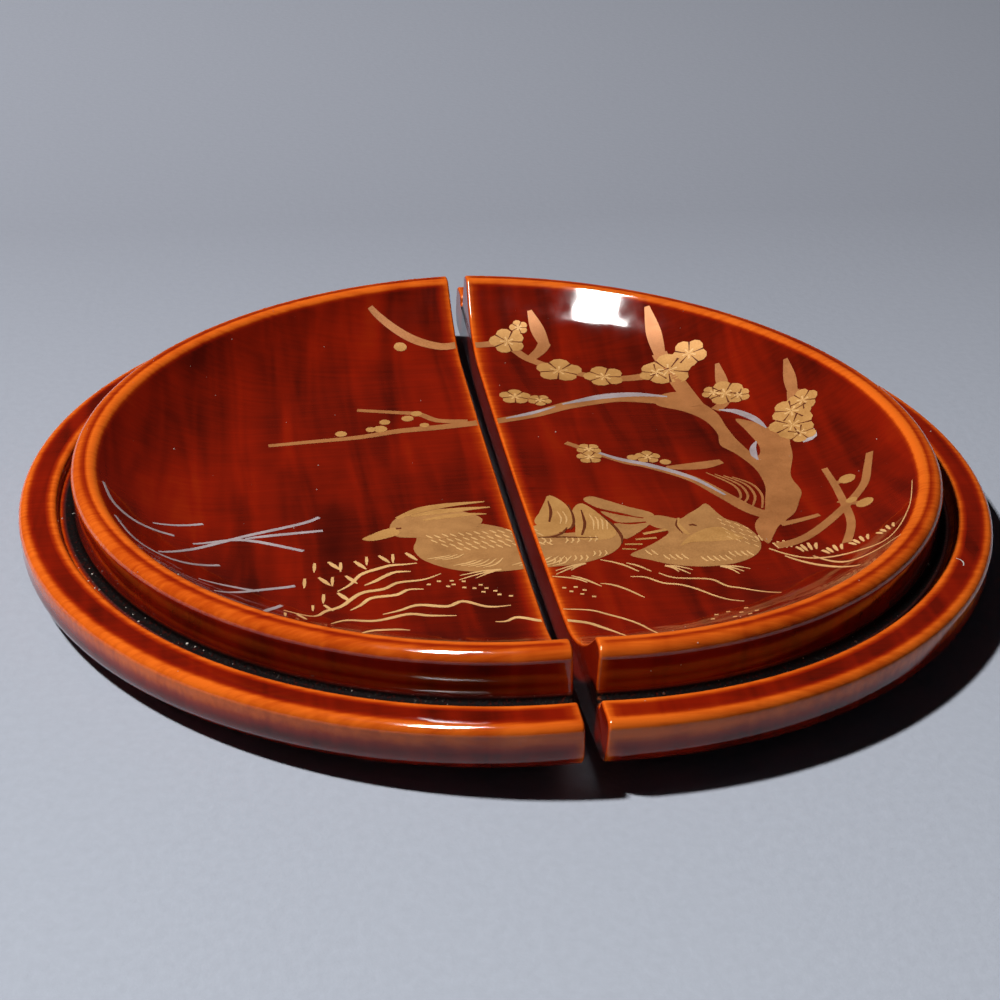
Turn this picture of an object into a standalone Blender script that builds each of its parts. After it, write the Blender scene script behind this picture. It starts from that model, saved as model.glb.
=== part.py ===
"""Split lacquer lid of a tea caddy: two turned half discs that lie loose side by side, painted side up.

Units are metres and +Z is up. The cut between the halves runs along Y. The origin is under the middle of the
lid, on the surface that both halves rest on.
"""

import math

import bmesh
import bpy
from mathutils import Matrix, Vector

MM = 0.001

# Turned outline of the whole lid, heights counted from the flat seat of the rim
RIM_RADIUS = 52.5 * MM
RIM_TOP_ROUND = 0.9 * MM
RIM_LOWER_ROUND = 2.6 * MM
SEAT_WIDTH = 4.1 * MM
SEAT_EDGE_ROUND = 0.6 * MM
GROOVE_DEPTH = 1.1 * MM
GROOVE_WIDTH = 1.8 * MM
GROOVE_ROUND = 0.5 * MM
RING_WIDTH = 2.3 * MM
RING_HEIGHT = 4.0 * MM
RING_TOP_ROUND = 1.1 * MM
RECESS_DEPTH = 7.0 * MM
RECESS_SLOPE = math.radians(43.5)
RECESS_COVE = 19.0 * MM
FLOOR_DISH = 0.6 * MM
FLOOR_THICKNESS = 4.2 * MM
DOME_RADIUS = 658.0 * MM

# The cut and how the halves lie
CUT_EDGE_ROUND = 0.3 * MM
FLOOR_GAP = 1.9 * MM
REST_FLAT_DEPTH = 0.08 * MM

# Fineness of the turned surface
TURN_STEPS = 36
FLOOR_STEPS = 5
DOME_STEPS = 7
ROUND_STEP = math.radians(24)
ROUND_STEP_LENGTH = 2.8 * MM
CUT_ROUND_STEPS = 2
ROUNDING_ROOM = 0.98

LACQUER_COLOUR = (0.16, 0.012, 0.005, 1.0)
LACQUER_ROUGHNESS = 0.12

# Places that follow from the sizes above
SEAT_INNER_RADIUS = RIM_RADIUS - SEAT_WIDTH
RING_OUTER_RADIUS = SEAT_INNER_RADIUS - GROOVE_WIDTH
RING_INNER_RADIUS = RING_OUTER_RADIUS - RING_WIDTH
RECESS_SIDE_RUN = (RECESS_DEPTH - FLOOR_DISH) / math.tan(RECESS_SLOPE)
FLOOR_RADIUS = RING_INNER_RADIUS - RECESS_SIDE_RUN - RECESS_COVE * math.tan(RECESS_SLOPE / 2.0)
FLOOR_Z = RING_HEIGHT - RECESS_DEPTH
UNDERSIDE_Z = FLOOR_Z - FLOOR_THICKNESS
DOME_EDGE_RADIUS = RIM_RADIUS - RIM_LOWER_ROUND
BALANCE_RADIUS = 4.0 * RIM_RADIUS / (3.0 * math.pi)
LEAN = math.asin(BALANCE_RADIUS / DOME_RADIUS)


def clear_scene():
    for item in list(bpy.data.objects):
        bpy.data.objects.remove(item, do_unlink=True)


def bowl(radius, depth, steps):
    """Points of a shallow arc that rises by depth from the axis out to radius, and its slope at the end."""
    curvature = (radius**2 + depth**2) / (2.0 * depth)
    points = []
    for step in range(steps + 1):
        r = radius * step / steps
        points.append(Vector((r, curvature - math.sqrt(curvature**2 - r**2))))
    return points, radius / math.sqrt(curvature**2 - radius**2)


def rounded(before, here, after):
    """Points of the arc that rounds a corner. Each argument is a point and the radius of its own rounding.

    Two neighbouring roundings share the side between them in proportion to their radii.
    """
    corner, radius = here
    into = corner - before[0]
    away = after[0] - corner
    room = min(
        into.length * radius / (radius + before[1]),
        away.length * radius / (radius + after[1]),
    )
    turn = into.angle_signed(away)
    half_turn = math.tan(abs(turn) / 2.0)
    radius = min(radius, ROUNDING_ROOM * room / half_turn)
    into.normalize()
    side = Vector((-into.y, into.x)) * (-1.0 if turn > 0.0 else 1.0)
    start = corner - into * radius * half_turn
    centre = start + side * radius
    steps = max(2, math.ceil(abs(turn) / ROUND_STEP), math.ceil(radius * abs(turn) / ROUND_STEP_LENGTH))
    points = []
    for step in range(steps + 1):
        swing = Matrix.Rotation(-turn * step / steps, 2)
        points.append(centre + swing @ (start - centre))
    return points


def lid_outline():
    """Outline of the lid as (radius, height), from the middle of the floor over the rim to the middle below."""
    floor, floor_slope = bowl(FLOOR_RADIUS, FLOOR_DISH, FLOOR_STEPS)
    floor = [point + Vector((0.0, FLOOR_Z)) for point in floor]
    dome_rise = DOME_RADIUS - math.sqrt(DOME_RADIUS**2 - DOME_EDGE_RADIUS**2)
    dome, dome_slope = bowl(DOME_EDGE_RADIUS, dome_rise, DOME_STEPS)
    dome = [point + Vector((0.0, UNDERSIDE_Z)) for point in dome]

    # The floor's last slope and the sloping side of the recess meet at the foot of the cove
    side_rise = math.tan(RECESS_SLOPE)
    side_start = RING_HEIGHT - side_rise * RING_INNER_RADIUS
    floor_start = floor[-1].y - floor_slope * floor[-1].x
    foot_radius = (floor_start - side_start) / (side_rise - floor_slope)
    cove_foot = Vector((foot_radius, side_start + side_rise * foot_radius))
    rim_foot = dome[-1] + Vector((RIM_LOWER_ROUND, RIM_LOWER_ROUND * dome_slope))
    corners = [
        (floor[-1], 0.0),
        (cove_foot, RECESS_COVE),
        (Vector((RING_INNER_RADIUS, RING_HEIGHT)), RING_TOP_ROUND),
        (Vector((RING_OUTER_RADIUS, RING_HEIGHT)), RING_TOP_ROUND),
        (Vector((RING_OUTER_RADIUS, -GROOVE_DEPTH)), GROOVE_ROUND),
        (Vector((SEAT_INNER_RADIUS, -GROOVE_DEPTH)), GROOVE_ROUND),
        (Vector((SEAT_INNER_RADIUS, 0.0)), SEAT_EDGE_ROUND),
        (Vector((RIM_RADIUS, 0.0)), RIM_TOP_ROUND),
        (rim_foot, RIM_LOWER_ROUND),
        (dome[-1], 0.0),
    ]
    outline = list(floor)
    for before, here, after in zip(corners, corners[1:], corners[2:]):
        outline += rounded(before, here, after)
    return outline + dome[::-1]


def outward_normals(outline):
    """Unit normals of the outline, each halfway between those of the two lines that meet at the point."""
    normals = []
    for index in range(len(outline)):
        before = outline[max(index - 1, 0)]
        after = outline[min(index + 1, len(outline) - 1)]
        here = outline[index]
        along = Vector((0.0, 0.0))
        for line in (here - before, after - here):
            if line.length > 0.0:
                along += line.normalized()
        along.normalize()
        normals.append(Vector((-along.y, along.x)))
    return normals


def half_disc(name):
    """Half of the turned lid on the -X side of the cut plane, its cut edges rounded all the way round."""
    outline = lid_outline()
    normals = outward_normals(outline)
    edge = CUT_EDGE_ROUND
    mesh = bmesh.new()

    # Rings of the turned surface, which stop at the start of the cut edge's rounding
    rings = []
    for point in outline:
        if point.x <= edge:
            rings.append([mesh.verts.new((-edge, 0.0, point.y))] * (TURN_STEPS + 1))
            continue
        radius = point.x
        reach = math.acos(edge / radius)
        ring = []
        for step in range(TURN_STEPS + 1):
            angle = reach * (1.0 - 2.0 * step / TURN_STEPS)
            ring.append(mesh.verts.new((-radius * math.cos(angle), radius * math.sin(angle), point.y)))
        rings.append(ring)
    for upper, lower in zip(rings, rings[1:]):
        for step in range(TURN_STEPS):
            corners = (upper[step], upper[step + 1], lower[step + 1], lower[step])
            mesh.faces.new(list(dict.fromkeys(corners)))

    # Rounding of the cut edge: one loop of the whole perimeter after another, up to the flat cut face
    loop = [(rings[index][0], normals[index], 1.0) for index in range(len(rings))]
    loop += [(rings[index][-1], normals[index], -1.0) for index in range(len(rings) - 2, 0, -1)]
    row = [vertex for vertex, _, _ in loop]
    for step in range(1, CUT_ROUND_STEPS + 1):
        angle = math.radians(90.0) * step / CUT_ROUND_STEPS
        sink = edge * (1.0 - math.cos(angle))
        next_row = []
        x = -edge + edge * math.sin(angle)
        for vertex, normal, side in loop:
            y = vertex.co.y - side * sink * normal.x
            next_row.append(mesh.verts.new((x, y, vertex.co.z - sink * normal.y)))
        for index in range(len(row)):
            after = (index + 1) % len(row)
            mesh.faces.new((row[index], row[after], next_row[after], next_row[index]))
        row = next_row
    mesh.faces.new(row)

    bmesh.ops.recalc_face_normals(mesh, faces=mesh.faces[:])
    data = bpy.data.meshes.new(name)
    mesh.to_mesh(data)
    mesh.free()
    return data


def resting_place():
    """Placement of the left half: it leans about the cut's direction until it balances on its domed side."""
    dome_centre_z = UNDERSIDE_Z + DOME_RADIUS
    turn = Matrix.Rotation(-LEAN, 4, "Y") @ Matrix.Translation((0.0, 0.0, -dome_centre_z))
    floor_edge = turn @ Vector((0.0, 0.0, FLOOR_Z))
    shift = Vector((-FLOOR_GAP / 2.0 - floor_edge.x, 0.0, DOME_RADIUS - REST_FLAT_DEPTH))
    return Matrix.Translation(shift) @ turn


def press_flat(data, placement):
    """Flattens the small spot of the dome that would reach below the surface it rests on."""
    back = placement.inverted()
    for vertex in data.vertices:
        place = placement @ vertex.co
        if place.z < 0.0:
            vertex.co = back @ Vector((place.x, place.y, 0.0))


def lacquer(name):
    material = bpy.data.materials.new(name)
    material.use_nodes = True
    shader = material.node_tree.nodes["Principled BSDF"]
    shader.inputs["Base Color"].default_value = LACQUER_COLOUR
    shader.inputs["Roughness"].default_value = LACQUER_ROUGHNESS
    shader.inputs["Metallic"].default_value = 0.0
    return material


def add_half(name, about_turn):
    """One half of the lid, turned about the upright axis to its side of the cut."""
    placement = resting_place()
    data = half_disc(name)
    press_flat(data, placement)
    data.materials.append(lacquer(name + "_lacquer"))
    data.shade_smooth()
    data.set_sharp_from_angle(angle=math.radians(50))
    item = bpy.data.objects.new(name, data)
    item.matrix_world = Matrix.Rotation(about_turn, 4, "Z") @ placement
    bpy.context.scene.collection.objects.link(item)


clear_scene()
add_half("left_lid_half", 0.0)
add_half("right_lid_half", math.pi)
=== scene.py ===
# %% [markdown]
# # A split lacquer lid, painted side up
# The object is the turned wooden lid of a tea caddy. It is in two halves, which lie side by side with the painted
# inner face up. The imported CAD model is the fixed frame: every piece made here sits where the CAD says, and
# carries the finish that the plain solids lack.

# %% Open the fixed frame
import math

import bmesh
import bpy
from mathutils import Matrix, Quaternion, Vector


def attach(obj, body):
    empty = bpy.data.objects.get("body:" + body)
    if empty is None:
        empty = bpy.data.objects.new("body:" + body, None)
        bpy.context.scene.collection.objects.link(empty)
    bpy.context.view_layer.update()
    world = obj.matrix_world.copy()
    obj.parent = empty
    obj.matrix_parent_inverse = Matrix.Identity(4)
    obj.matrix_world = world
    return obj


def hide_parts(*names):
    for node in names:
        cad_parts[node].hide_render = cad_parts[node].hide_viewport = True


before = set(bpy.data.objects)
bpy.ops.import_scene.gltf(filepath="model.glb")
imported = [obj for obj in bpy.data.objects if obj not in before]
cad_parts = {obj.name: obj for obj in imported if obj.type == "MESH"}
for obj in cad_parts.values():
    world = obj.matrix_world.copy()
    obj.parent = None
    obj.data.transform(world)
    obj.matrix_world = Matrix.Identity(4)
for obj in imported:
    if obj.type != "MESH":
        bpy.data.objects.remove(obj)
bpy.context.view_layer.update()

MM = 0.001

# %% [markdown]
# ## The turned outline
# A wood turner works to a profile: floor, cove, ring, groove, seat and rim. The same straight lines and arcs as in
# the CAD are written here, only finer, because a glossy surface shows every facet in its reflections. A point is
# added close to each end of a long line, so that the smooth shading turns in the arc and not across the flat.

# %% Sizes of the outline
RIM_RADIUS = 52.5 * MM
RIM_TOP_ROUND = 0.9 * MM
RIM_LOWER_ROUND = 2.6 * MM
SEAT_WIDTH = 4.1 * MM
SEAT_EDGE_ROUND = 0.6 * MM
GROOVE_DEPTH = 1.1 * MM
GROOVE_WIDTH = 1.8 * MM
GROOVE_ROUND = 0.5 * MM
RING_WIDTH = 2.3 * MM
RING_HEIGHT = 4.0 * MM
RING_TOP_ROUND = 1.1 * MM
RECESS_DEPTH = 7.0 * MM
RECESS_SLOPE = math.radians(43.5)
RECESS_COVE = 19.0 * MM
FLOOR_DISH = 0.6 * MM
FLOOR_THICKNESS = 4.2 * MM
DOME_RADIUS = 658.0 * MM
FLOOR_STEPS = 24
DOME_STEPS = 24
ROUNDING_ROOM = 0.98
ARC_STEP = math.radians(6)
ARC_STEP_LENGTH = 0.6 * MM
SHADING_MARGIN = 0.05 * MM
LINE_SPACING = 0.3 * MM

SEAT_INNER_RADIUS = RIM_RADIUS - SEAT_WIDTH
RING_OUTER_RADIUS = SEAT_INNER_RADIUS - GROOVE_WIDTH
RING_INNER_RADIUS = RING_OUTER_RADIUS - RING_WIDTH
RECESS_SIDE_RUN = (RECESS_DEPTH - FLOOR_DISH) / math.tan(RECESS_SLOPE)
FLOOR_RADIUS = RING_INNER_RADIUS - RECESS_SIDE_RUN - RECESS_COVE * math.tan(RECESS_SLOPE / 2.0)
FLOOR_Z = RING_HEIGHT - RECESS_DEPTH
UNDERSIDE_Z = FLOOR_Z - FLOOR_THICKNESS
DOME_EDGE_RADIUS = RIM_RADIUS - RIM_LOWER_ROUND


# %% Arcs and roundings
def bowl(radius, depth, steps):
    """Points of a shallow arc that rises by depth from the axis out to radius, and its slope at the end."""
    curvature = (radius**2 + depth**2) / (2.0 * depth)
    points = []
    for step in range(steps + 1):
        r = radius * step / steps
        points.append(Vector((r, curvature - math.sqrt(curvature**2 - r**2))))
    return points, radius / math.sqrt(curvature**2 - radius**2)


def rounded(before, here, after):
    """Points of the arc that rounds a corner. Each argument is a point and the radius of its own rounding."""
    corner, radius = here
    into = corner - before[0]
    away = after[0] - corner
    room = min(
        into.length * radius / (radius + before[1]),
        away.length * radius / (radius + after[1]),
    )
    turn = into.angle_signed(away)
    half_turn = math.tan(abs(turn) / 2.0)
    radius = min(radius, ROUNDING_ROOM * room / half_turn)
    into.normalize()
    side = Vector((-into.y, into.x)) * (-1.0 if turn > 0.0 else 1.0)
    start = corner - into * radius * half_turn
    centre = start + side * radius
    steps = max(4, math.ceil(abs(turn) / ARC_STEP), math.ceil(radius * abs(turn) / ARC_STEP_LENGTH))
    return [centre + Matrix.Rotation(-turn * step / steps, 2) @ (start - centre) for step in range(steps + 1)]


# %% The whole outline, from the middle of the floor over the rim to the middle below
floor, floor_slope = bowl(FLOOR_RADIUS, FLOOR_DISH, FLOOR_STEPS)
floor = [point + Vector((0.0, FLOOR_Z)) for point in floor]
dome_rise = DOME_RADIUS - math.sqrt(DOME_RADIUS**2 - DOME_EDGE_RADIUS**2)
dome, dome_slope = bowl(DOME_EDGE_RADIUS, dome_rise, DOME_STEPS)
dome = [point + Vector((0.0, UNDERSIDE_Z)) for point in dome]
side_rise = math.tan(RECESS_SLOPE)
side_start = RING_HEIGHT - side_rise * RING_INNER_RADIUS
floor_start = floor[-1].y - floor_slope * floor[-1].x
foot_radius = (floor_start - side_start) / (side_rise - floor_slope)
cove_foot = Vector((foot_radius, side_start + side_rise * foot_radius))
rim_foot = dome[-1] + Vector((RIM_LOWER_ROUND, RIM_LOWER_ROUND * dome_slope))
corners = [
    (floor[-1], 0.0),
    (cove_foot, RECESS_COVE),
    (Vector((RING_INNER_RADIUS, RING_HEIGHT)), RING_TOP_ROUND),
    (Vector((RING_OUTER_RADIUS, RING_HEIGHT)), RING_TOP_ROUND),
    (Vector((RING_OUTER_RADIUS, -GROOVE_DEPTH)), GROOVE_ROUND),
    (Vector((SEAT_INNER_RADIUS, -GROOVE_DEPTH)), GROOVE_ROUND),
    (Vector((SEAT_INNER_RADIUS, 0.0)), SEAT_EDGE_ROUND),
    (Vector((RIM_RADIUS, 0.0)), RIM_TOP_ROUND),
    (rim_foot, RIM_LOWER_ROUND),
    (dome[-1], 0.0),
]
arcs = [rounded(*three) for three in zip(corners, corners[1:], corners[2:])]
sections = [floor] + arcs + [dome[::-1]]


def with_margins(sections, margin, spacing):
    """Joins the sections to one line, with a point just outside each end of every arc and more on long lines."""
    line = list(sections[0])
    for section in sections[1:]:
        gap = section[0] - line[-1]
        if gap.length > 3.0 * margin:
            step = gap.normalized() * margin
            between_arcs = [line[-1] + step, section[0] - step]
            number = max(1, round((gap.length - 2.0 * margin) / spacing))
            line += [between_arcs[0].lerp(between_arcs[1], part / number) for part in range(number + 1)]
        line += section if gap.length > 1e-7 else section[1:]
    return line


outline = with_margins(sections, SHADING_MARGIN, LINE_SPACING)
print("outline points:", len(outline), "crest height mm:", round(max(p.y for p in outline) / MM, 3))

# %% [markdown]
# ## Where the lacquer is thin
# Transparent brown lacquer pools in the hollows, where it looks nearly black, and pulls away from every rounded
# edge, where the wood shines through in orange. Each point of the outline therefore carries two numbers: how thin
# the lacquer is, and how much dust has stuck in the groove. The finish reads both as attributes.

# %% Thin lacquer and dust along the outline
ARC_NAMES = ["cove", "ring_inner", "ring_outer", "groove_inner", "groove_outer", "seat_edge", "rim_top", "rim_lower"]
THIN_EDGES = {  # edge: (how thin, reach towards the middle, reach outwards)
    "ring_inner": (1.0, 0.5 * MM, 0.6 * MM),
    "ring_outer": (0.8, 0.6 * MM, 0.2 * MM),
    "seat_edge": (0.9, 1.3 * MM, 0.7 * MM),
    "rim_top": (0.95, 0.55 * MM, 1.9 * MM),
}
run = [0.0]
for before, after in zip(outline, outline[1:]):
    run.append(run[-1] + (after - before).length)


def run_at(point):
    """Length along the outline at which a point of it lies."""
    return min(zip(outline, run), key=lambda pair: (pair[0] - point).length)[1]


arc_span = {name: (run_at(arc[0]), run_at(arc[-1])) for name, arc in zip(ARC_NAMES, arcs)}


def smooth(value):
    value = min(max(value, 0.0), 1.0)
    return value * value * (3.0 - 2.0 * value)


def thinness(here):
    result = 0.0
    for name, (amount, inward, outward) in THIN_EDGES.items():
        start, end = arc_span[name]
        middle = (start + end) / 2.0
        half = (end - start) / 2.0
        reach = half + (inward if here < middle else outward)
        result = max(result, amount * smooth(1.55 * (1.0 - abs(here - middle) / reach)))
    return result


def dustiness(here):
    start = arc_span["groove_inner"][0] - 0.3 * MM
    end = arc_span["groove_outer"][0] + 0.1 * MM
    middle = (start + end) / 2.0
    return smooth(2.2 * (1.0 - abs(here - middle) / ((end - start) / 2.0)))


thin = [thinness(here) for here in run]
dust = [dustiness(here) for here in run]
print("outline length mm:", round(run[-1] / MM, 2), "of it thin:", sum(value > 0.5 for value in thin), "points")

# %% [markdown]
# ## Small tools for node trees
# A geometry tree and a material are built from the same few moves: add a node, set or link its inputs, and do sums.
# Three helpers keep the trees below short enough to read.


# %% Node helpers
def add_node(tree, kind, inputs=None, **settings):
    node = tree.nodes.new(kind)
    for name, value in settings.items():
        setattr(node, name, value)
    for key, value in (inputs or {}).items():
        if isinstance(value, bpy.types.NodeSocket):
            tree.links.new(value, node.inputs[key])
        else:
            node.inputs[key].default_value = value
    return node


def calc(tree, operation, *values):
    return add_node(tree, "ShaderNodeMath", dict(enumerate(values)), operation=operation).outputs[0]


def new_geometry_tree(name, inputs):
    """A geometry tree with one geometry input and the named size inputs, each (name, socket kind, default)."""
    tree = bpy.data.node_groups.new(name, "GeometryNodeTree")
    tree.interface.new_socket(name="Geometry", in_out="INPUT", socket_type="NodeSocketGeometry")
    for label, kind, default in inputs:
        socket = tree.interface.new_socket(name=label, in_out="INPUT", socket_type=kind)
        if default is not None:
            socket.default_value = default
    tree.interface.new_socket(name="Geometry", in_out="OUTPUT", socket_type="NodeSocketGeometry")
    return tree, tree.nodes.new("NodeGroupInput").outputs


def close_tree(tree, geometry, finish):
    """Ends a tree: instances become real, and the finish is set."""
    real = add_node(tree, "GeometryNodeRealizeInstances", {"Geometry": geometry}).outputs[0]
    painted = add_node(tree, "GeometryNodeSetMaterial", {"Geometry": real, "Material": finish}).outputs[0]
    tree.links.new(painted, tree.nodes.new("NodeGroupOutput").inputs[0])


def made_by(tree, source, name, values):
    """Runs a tree on a source object and gives the result as a plain mesh object at the origin."""
    modifier = source.modifiers.new(tree.name, "NODES")
    modifier.node_group = tree
    for item in tree.interface.items_tree:
        if item.in_out == "INPUT" and item.name in values:
            modifier[item.identifier] = values[item.name]
    depsgraph = bpy.context.evaluated_depsgraph_get()
    mesh = bpy.data.meshes.new_from_object(source.evaluated_get(depsgraph), depsgraph=depsgraph)
    mesh.name = name
    source.modifiers.remove(modifier)
    piece = bpy.data.objects.new(name, mesh)
    bpy.context.scene.collection.objects.link(piece)
    return piece


def point_values(mesh, name, values):
    mesh.attributes.new(name, "FLOAT", "POINT").data.foreach_set("value", values)


def linked_object(name, data):
    item = bpy.data.objects.new(name, data)
    bpy.context.scene.collection.objects.link(item)
    return item


# %% [markdown]
# ## How a half lies
# The outer face of the lid is gently domed, so a loose half tips until its weight is over the spot it touches. The
# cut side of each half sinks and the far rim rises, and the cut between them opens upwards. Each tree that makes
# something on a half ends with this placement, with the same numbers as in the CAD.

# %% Placement of the left half, and of the right one by a half turn
CUT_EDGE_ROUND = 0.3 * MM
FLOOR_GAP = 1.9 * MM
REST_FLAT_DEPTH = 0.08 * MM
BALANCE_RADIUS = 4.0 * RIM_RADIUS / (3.0 * math.pi)
LEAN = math.asin(BALANCE_RADIUS / DOME_RADIUS)
DOME_CENTRE_Z = UNDERSIDE_Z + DOME_RADIUS
leaned_floor = Matrix.Rotation(-LEAN, 3, "Y") @ Vector((0.0, 0.0, FLOOR_Z - DOME_CENTRE_Z))
SHIFT = Vector((-FLOOR_GAP / 2.0 - leaned_floor.x, 0.0, DOME_RADIUS - REST_FLAT_DEPTH))
HALVES = {"left": 0.0, "right": math.pi}


def laid_down(tree, geometry, half_turn):
    """Leans the half about the centre of its dome, presses its resting spot flat and turns it to its side."""
    raised = add_node(tree, "GeometryNodeTransform", {"Geometry": geometry, "Translation": (0, 0, -DOME_CENTRE_Z)})
    leaned = add_node(
        tree,
        "GeometryNodeTransform",
        {"Geometry": raised.outputs[0], "Rotation": (0, -LEAN, 0), "Translation": SHIFT},
    )
    place = add_node(tree, "ShaderNodeSeparateXYZ", {0: tree.nodes.new("GeometryNodeInputPosition").outputs[0]})
    level = add_node(
        tree,
        "ShaderNodeCombineXYZ",
        {0: place.outputs[0], 1: place.outputs[1], 2: calc(tree, "MAXIMUM", place.outputs[2], 0.0)},
    )
    pressed = add_node(tree, "GeometryNodeSetPosition", {"Geometry": leaned.outputs[0], "Position": level.outputs[0]})
    about = add_node(tree, "ShaderNodeCombineXYZ", {2: half_turn})
    return add_node(
        tree, "GeometryNodeTransform", {"Geometry": pressed.outputs[0], "Rotation": about.outputs[0]}
    ).outputs[0]


print("lean of each half, degrees:", round(math.degrees(LEAN), 3))

# %% [markdown]
# ## Turning a half
# A turned shape follows a rule, so Geometry Nodes make it: a grid takes one row for each point of the outline and
# one column for each step of the turn, and every grid point is moved to its radius and angle. A second grid rounds
# the sharp edge all along the cut, and a filled ring closes the cut face. The outline comes in as a line of points
# that carries its own thin and dust values, and its outward direction for the rounding.

# %% The outline as a line of points
outline_mesh = bpy.data.meshes.new("lid_outline")
outline_mesh.from_pydata(
    [(point.x, 0.0, point.y) for point in outline], [(i, i + 1) for i in range(len(outline) - 1)], []
)
outwards = []
for index, here in enumerate(outline):
    along = Vector((0.0, 0.0))
    for line in (here - outline[max(index - 1, 0)], outline[min(index + 1, len(outline) - 1)] - here):
        if line.length > 0.0:
            along += line.normalized()
    along.normalize()
    outwards.append(Vector((-along.y, along.x)))
point_values(outline_mesh, "thin", thin)
point_values(outline_mesh, "dust", dust)
point_values(outline_mesh, "out_radius", [v.x for v in outwards])
point_values(outline_mesh, "out_height", [v.y for v in outwards])
outline_object = linked_object("lid_outline", outline_mesh)

# %% The tree that turns the outline
turn_tree, given = new_geometry_tree(
    "turned_half",
    [
        ("Turn steps", "NodeSocketInt", 240),
        ("Cut rounding", "NodeSocketFloat", CUT_EDGE_ROUND),
        ("Rounding steps", "NodeSocketInt", 5),
        ("Glow width", "NodeSocketFloat", 2.0 * MM),
        ("Half turn", "NodeSocketFloat", 0.0),
        ("Finish", "NodeSocketMaterial", None),
    ],
)
count = add_node(turn_tree, "GeometryNodeAttributeDomainSize", {0: given["Geometry"]}).outputs["Point Count"]
number = turn_tree.nodes.new("GeometryNodeInputIndex").outputs[0]
edge = given["Cut rounding"]


def outline_value(index, name=None):
    """Reads a value of the outline at an index: its place, or one of its named numbers."""
    if name is None:
        value = turn_tree.nodes.new("GeometryNodeInputPosition").outputs[0]
        kind = "FLOAT_VECTOR"
    else:
        value = add_node(turn_tree, "GeometryNodeInputNamedAttribute", {"Name": name}, data_type="FLOAT").outputs[0]
        kind = "FLOAT"
    sample = add_node(turn_tree, "GeometryNodeSampleIndex", {"Geometry": given["Geometry"]}, data_type=kind)
    turn_tree.links.new(value, sample.inputs["Value"])
    turn_tree.links.new(index, sample.inputs["Index"])
    return sample.outputs[0]


def radius_height(index):
    parts = add_node(turn_tree, "ShaderNodeSeparateXYZ", {0: outline_value(index)})
    return parts.outputs[0], parts.outputs[2]


def placed(mesh, x, y, z):
    spot = add_node(turn_tree, "ShaderNodeCombineXYZ", {0: x, 1: y, 2: z}).outputs[0]
    return add_node(turn_tree, "GeometryNodeSetPosition", {"Geometry": mesh, "Position": spot}).outputs[0]


def stored(mesh, name, value):
    return add_node(
        turn_tree,
        "GeometryNodeStoreNamedAttribute",
        {"Geometry": mesh, "Name": name, "Value": value},
        data_type="FLOAT",
        domain="POINT",
    ).outputs[0]


# %% The turned skin of the half
columns = calc(turn_tree, "ADD", given["Turn steps"], 1.0)
skin = add_node(turn_tree, "GeometryNodeMeshGrid", {"Vertices X": columns, "Vertices Y": count}).outputs[0]
row = calc(turn_tree, "FLOORED_MODULO", number, count)
column = calc(turn_tree, "FLOOR", calc(turn_tree, "DIVIDE", number, count))
radius, height = radius_height(row)
reach = calc(turn_tree, "ARCCOSINE", calc(turn_tree, "MINIMUM", calc(turn_tree, "DIVIDE", edge, radius), 1.0))
share = calc(turn_tree, "DIVIDE", column, given["Turn steps"])
angle = calc(turn_tree, "MULTIPLY", reach, calc(turn_tree, "MULTIPLY_ADD", share, -2.0, 1.0))
across = calc(turn_tree, "MAXIMUM", calc(turn_tree, "MULTIPLY", radius, calc(turn_tree, "COSINE", angle)), edge)
beside = calc(turn_tree, "MULTIPLY", radius, calc(turn_tree, "SINE", angle))
glow = calc(turn_tree, "SUBTRACT", 1.0, calc(turn_tree, "DIVIDE", across, given["Glow width"]))
glow = calc(turn_tree, "MULTIPLY", calc(turn_tree, "POWER", calc(turn_tree, "MAXIMUM", glow, 0.0), 1.7), 0.85)
skin = stored(skin, "thin", calc(turn_tree, "MAXIMUM", outline_value(row, "thin"), glow))
skin = stored(skin, "dust", outline_value(row, "dust"))
skin = placed(skin, calc(turn_tree, "MULTIPLY", across, -1.0), beside, height)

# %% The rounded cut edge and the cut face
around = calc(turn_tree, "MULTIPLY", count, 2.0)
rows = calc(turn_tree, "ADD", given["Rounding steps"], 1.0)


def along_cut(index, swing):
    """Place on the cut edge's rounding: index runs once round the half's section, swing from 0 to a quarter turn."""
    on_return = calc(turn_tree, "GREATER_THAN", index, calc(turn_tree, "SUBTRACT", count, 0.5))
    back = calc(turn_tree, "SUBTRACT", calc(turn_tree, "SUBTRACT", around, 1.0), index)
    there = calc(turn_tree, "MULTIPLY", index, calc(turn_tree, "SUBTRACT", 1.0, on_return))
    point = calc(turn_tree, "ADD", calc(turn_tree, "MULTIPLY", back, on_return), there)
    side = calc(turn_tree, "MULTIPLY_ADD", on_return, -2.0, 1.0)
    radius, height = radius_height(point)
    squared = calc(
        turn_tree,
        "SUBTRACT",
        calc(turn_tree, "MULTIPLY", radius, radius),
        calc(turn_tree, "MULTIPLY", edge, edge),
    )
    y = calc(turn_tree, "SQRT", calc(turn_tree, "MAXIMUM", squared, 0.0))
    sink = calc(turn_tree, "MULTIPLY", edge, calc(turn_tree, "SUBTRACT", 1.0, calc(turn_tree, "COSINE", swing)))
    y = calc(turn_tree, "SUBTRACT", y, calc(turn_tree, "MULTIPLY", sink, outline_value(point, "out_radius")))
    z = calc(turn_tree, "SUBTRACT", height, calc(turn_tree, "MULTIPLY", sink, outline_value(point, "out_height")))
    x = calc(turn_tree, "MULTIPLY", edge, calc(turn_tree, "SUBTRACT", calc(turn_tree, "SINE", swing), 1.0))
    return point, x, calc(turn_tree, "MULTIPLY", y, side), z


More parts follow.
